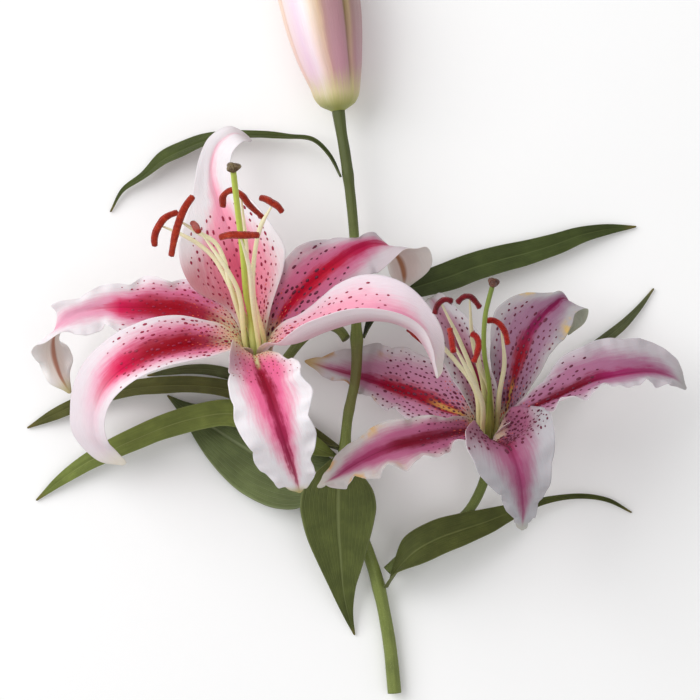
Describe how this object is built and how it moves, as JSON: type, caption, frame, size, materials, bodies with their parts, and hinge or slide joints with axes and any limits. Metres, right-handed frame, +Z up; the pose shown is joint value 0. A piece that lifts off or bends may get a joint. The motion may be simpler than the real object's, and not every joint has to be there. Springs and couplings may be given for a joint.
{
  "type": "cut lily",
  "caption": "Cut stargazer lily lying on its back: one leafy stem with open spotted pink blooms and a closed bud at its tip.",
  "frame": {"origin": "on the surface the lily lies on, under the middle of its bounding box", "axes": "+Y runs up the stem from the cut end towards the bud, +Z points up from the surface, +X is to the stem's right seen from above"},
  "size_m": [0.2946, 0.3642, 0.1042],
  "materials": {
    "stem": "smooth living green stem, slightly waxy",
    "leaf": "matt leaf with fine parallel veins",
    "tepal": "soft satin petal, pink with a crimson midrib, dark spots and white margins",
    "bud": "soft satin closed bud, blush pink with greenish seams",
    "filament": "smooth pale yellow-green",
    "anther": "dry powdery rust-coloured pollen",
    "pistil": "smooth waxy green",
    "stigma": "moist brown, slightly glossy"
  },
  "bodies": {
    "root": {"stem": "stem", "bud": "bud", "bloom_a_petal_back": "tepal", "bloom_a_petal_right": "tepal", "bloom_a_petal_left": "tepal", "bloom_a_sepal_back_right": "tepal", "bloom_a_sepal_front": "tepal", "bloom_a_sepal_back_left": "tepal", "bloom_b_petal_right": "tepal", "bloom_b_petal_front_left": "tepal", "bloom_b_petal_back": "tepal", "bloom_b_sepal_front": "tepal", "bloom_b_sepal_left": "tepal", "bloom_b_sepal_back_right": "tepal", "bloom_a_stamen_1_filament": "filament", "bloom_a_stamen_1_anther": "anther", "bloom_a_stamen_2_filament": "filament", "bloom_a_stamen_2_anther": "anther", "bloom_a_stamen_3_filament": "filament", "bloom_a_stamen_3_anther": "anther", "bloom_a_stamen_4_filament": "filament", "bloom_a_stamen_4_anther": "anther", "bloom_a_stamen_5_filament": "filament", "bloom_a_stamen_5_anther": "anther", "bloom_a_stamen_6_filament": "filament", "bloom_a_stamen_6_anther": "anther", "bloom_b_stamen_1_filament": "filament", "bloom_b_stamen_1_anther": "anther", "bloom_b_stamen_2_filament": "filament", "bloom_b_stamen_2_anther": "anther", "bloom_b_stamen_3_filament": "filament", "bloom_b_stamen_3_anther": "anther", "bloom_b_stamen_4_filament": "filament", "bloom_b_stamen_4_anther": "anther", "bloom_b_stamen_5_filament": "filament", "bloom_b_stamen_5_anther": "anther", "bloom_b_stamen_6_filament": "filament", "bloom_b_stamen_6_anther": "anther", "bloom_a_pistil": "pistil", "bloom_a_stigma": "stigma", "bloom_b_pistil": "pistil", "bloom_b_stigma": "stigma", "bloom_a_stalk": "stem", "bloom_b_stalk": "stem", "leaf_top_left": "leaf", "leaf_right_upper": "leaf", "leaf_right_bloom": "leaf", "leaf_right_lower": "leaf", "leaf_front": "leaf", "leaf_left_broad": "leaf", "leaf_left_long": "leaf", "leaf_left_upper": "leaf", "leaf_left_small": "leaf"}
  },
  "joints": []
}
